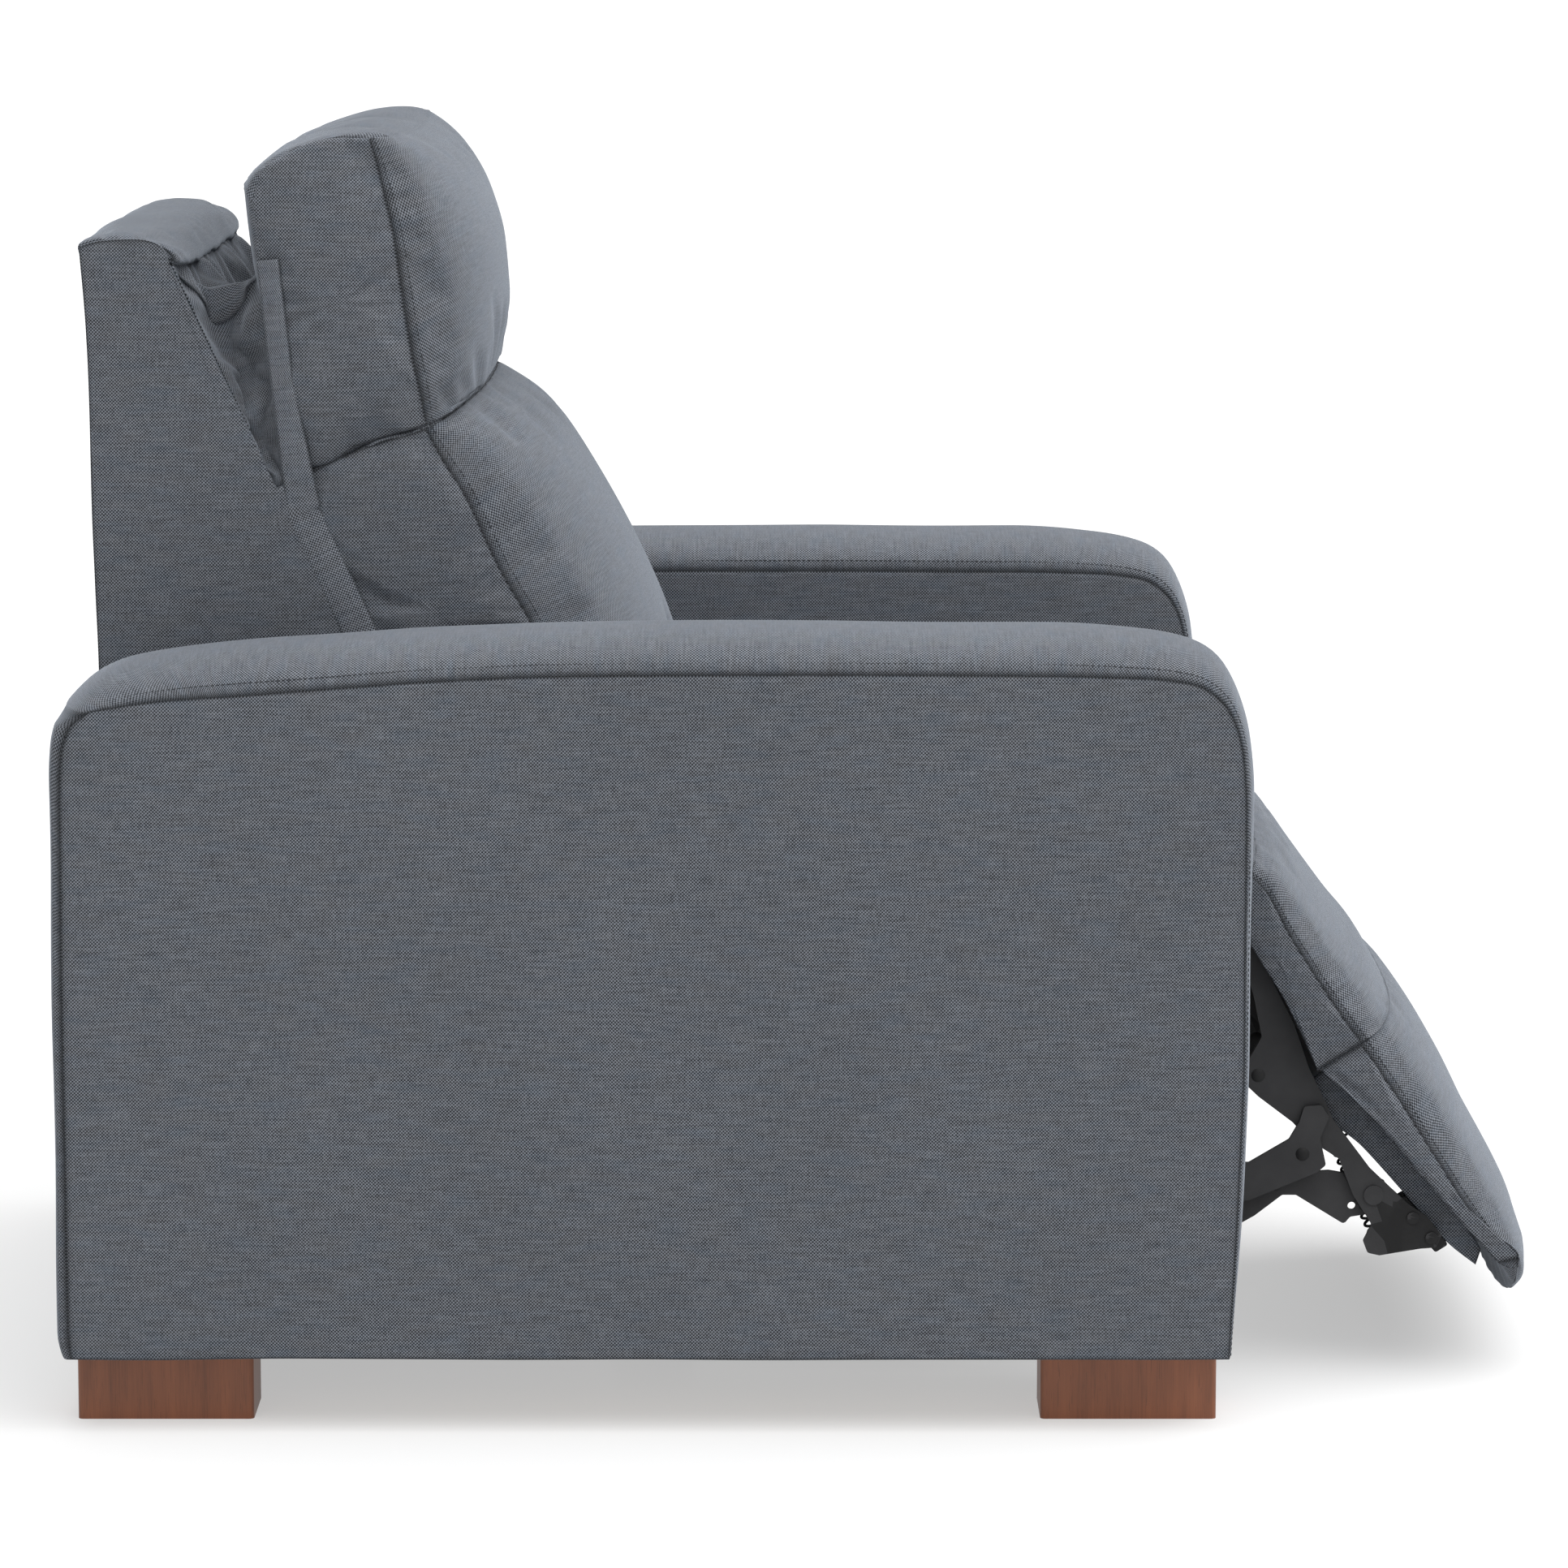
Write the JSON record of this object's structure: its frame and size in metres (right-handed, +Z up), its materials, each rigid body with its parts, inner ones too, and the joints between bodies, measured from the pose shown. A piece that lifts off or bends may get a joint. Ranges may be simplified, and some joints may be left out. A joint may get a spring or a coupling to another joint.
{
  "type": "power recliner chair",
  "caption": "Upholstered power recliner with padded arms, reclining back, tilting headrest and a footrest on a folding steel linkage, on square wooden feet.",
  "frame": {"origin": "centre of the bounding box's base, on the floor", "axes": "+Z up, the chair faces -Y, the chair's own right arm is at -X"},
  "size_m": [0.86, 1.1836, 1.0078],
  "materials": {
    "upholstery": "heathered slate blue-grey woven upholstery fabric",
    "walnut": "brown walnut stain, satin",
    "frame_wood": "plain planed frame timber",
    "black_steel": "black satin powder coat",
    "spring_steel": "black spring steel",
    "black_plastic": "black moulded plastic",
    "zinc_bolt": "zinc plated"
  },
  "bodies": {
    "base": {"arm_cover_left": "upholstery", "arm_cover_right": "upholstery", "arm_frame_left": "frame_wood", "arm_frame_right": "frame_wood", "back_motor": "black_plastic", "base_rail_left": "black_steel", "base_rail_right": "black_steel", "control_bezel": "black_plastic", "cross_tubes": "black_steel", "foot_bolts": "zinc_bolt", "foot_front_left": "walnut", "foot_front_right": "walnut", "foot_rear_left": "walnut", "foot_rear_right": "walnut", "footrest_motor": "black_plastic", "power_inlet": "black_plastic", "power_supply": "black_plastic", "rear_panel": "upholstery", "rear_rail": "frame_wood", "seat_cushion": "upholstery", "seat_frame": "frame_wood", "seat_springs": "spring_steel", "side_plate_left": "black_steel", "side_plate_right": "black_steel"},
    "lift_links": {"lift_link_right": "black_steel", "lift_link_left": "black_steel", "drive_tube": "black_steel"},
    "ottoman_links": {"ottoman_link_right": "black_steel", "ottoman_link_left": "black_steel"},
    "inner_links": {"inner_link_right": "black_steel", "inner_link_left": "black_steel"},
    "rear_links": {"rear_link_right": "black_steel", "rear_link_left": "black_steel"},
    "footrest": {"footrest_bracket_right": "black_steel", "footrest_bracket_left": "black_steel", "footrest_spring_right": "spring_steel", "footrest_spring_left": "spring_steel", "footrest_board": "upholstery", "upper_pad": "upholstery", "lower_pad": "upholstery", "pad_channel": "black_steel"},
    "back": {"outer_back": "upholstery", "back_top_roll": "upholstery", "back_frame": "black_steel", "back_springs": "spring_steel", "lumbar_cushion": "upholstery", "headrest_hinge_rod": "black_steel", "headrest_motor": "black_plastic"},
    "headrest": {"headrest_frame": "black_steel", "headrest_cushion": "upholstery"},
    "footrest_slider": {"footrest_motor_slider": "black_plastic"},
    "back_slider": {"back_motor_slider": "black_plastic"},
    "button_back_down": {"button_back_down": "black_plastic"},
    "button_back_up": {"button_back_up": "black_plastic"},
    "button_head_down": {"button_head_down": "black_plastic"},
    "button_head_up": {"button_head_up": "black_plastic"},
    "button_legs_down": {"button_legs_down": "black_plastic"},
    "button_legs_up": {"button_legs_up": "black_plastic"}
  },
  "joints": [
    {"name": "footrest_lift", "type": "hinge", "parent": "base", "child": "lift_links", "pos_m": [0, -0.199, 0.385], "axis": [-1, 0, 0], "range_deg": [-38.4, 68.5]},
    {"name": "ottoman_link_pivot", "type": "hinge", "parent": "lift_links", "child": "ottoman_links", "pos_m": [0, -0.23129, 0.105], "axis": [-1, 0, 0], "range_deg": [-75.39, 42.39]},
    {"name": "footrest_pad_pivot", "type": "hinge", "parent": "ottoman_links", "child": "footrest", "pos_m": [0, -0.449, 0.14826], "axis": [-1, 0, 0], "range_deg": [-36.49, 64.86]},
    {"name": "inner_link_pivot", "type": "hinge", "parent": "lift_links", "child": "inner_links", "pos_m": [0, -0.19739, 0.16168], "axis": [-1, 0, 0], "range_deg": [-77.25, 43.44]},
    {"name": "rear_link_pivot", "type": "hinge", "parent": "base", "child": "rear_links", "pos_m": [0, -0.1404, 0.385], "axis": [-1, 0, 0], "range_deg": [-38.47, 68.39]},
    {"name": "back_recline", "type": "hinge", "parent": "base", "child": "back", "pos_m": [0, 0.336, 0.345], "axis": [-1, 0, 0], "range_deg": [0, 38]},
    {"name": "headrest_tilt", "type": "hinge", "parent": "back", "child": "headrest", "pos_m": [0, 0.414, 0.697], "axis": [1, 0, 0], "range_deg": [-17, 0]},
    {"name": "footrest_screw", "type": "slide", "parent": "base", "child": "footrest_slider", "axis": [0, -1, 0], "range_m": [-0.04361, 0.07739]},
    {"name": "back_screw", "type": "slide", "parent": "base", "child": "back_slider", "axis": [0, 1, 0], "range_m": [0, 0.0805]},
    {"name": "button_back_down_press", "type": "slide", "parent": "base", "child": "button_back_down", "axis": [-1, 0, 0], "range_m": [0, 0.002], "stiffness_N_per_m": 400},
    {"name": "button_back_up_press", "type": "slide", "parent": "base", "child": "button_back_up", "axis": [-1, 0, 0], "range_m": [0, 0.002], "stiffness_N_per_m": 400},
    {"name": "button_head_down_press", "type": "slide", "parent": "base", "child": "button_head_down", "axis": [-1, 0, 0], "range_m": [0, 0.002], "stiffness_N_per_m": 400},
    {"name": "button_head_up_press", "type": "slide", "parent": "base", "child": "button_head_up", "axis": [-1, 0, 0], "range_m": [0, 0.002], "stiffness_N_per_m": 400},
    {"name": "button_legs_down_press", "type": "slide", "parent": "base", "child": "button_legs_down", "axis": [-1, 0, 0], "range_m": [0, 0.002], "stiffness_N_per_m": 400},
    {"name": "button_legs_up_press", "type": "slide", "parent": "base", "child": "button_legs_up", "axis": [-1, 0, 0], "range_m": [0, 0.002], "stiffness_N_per_m": 400}
  ],
  "couplings": [
    {"joint": "ottoman_link_pivot", "follows": "footrest_lift", "ratio": -1.0962},
    {"joint": "footrest_pad_pivot", "follows": "footrest_lift", "ratio": 0.9425},
    {"joint": "inner_link_pivot", "follows": "footrest_lift", "ratio": -1.1233},
    {"joint": "rear_link_pivot", "follows": "footrest_lift", "ratio": 0.994},
    {"joint": "footrest_screw", "follows": "footrest_lift", "m_per_rad": 0.064317},
    {"joint": "back_screw", "follows": "back_recline", "m_per_rad": 0.12062}
  ]
}
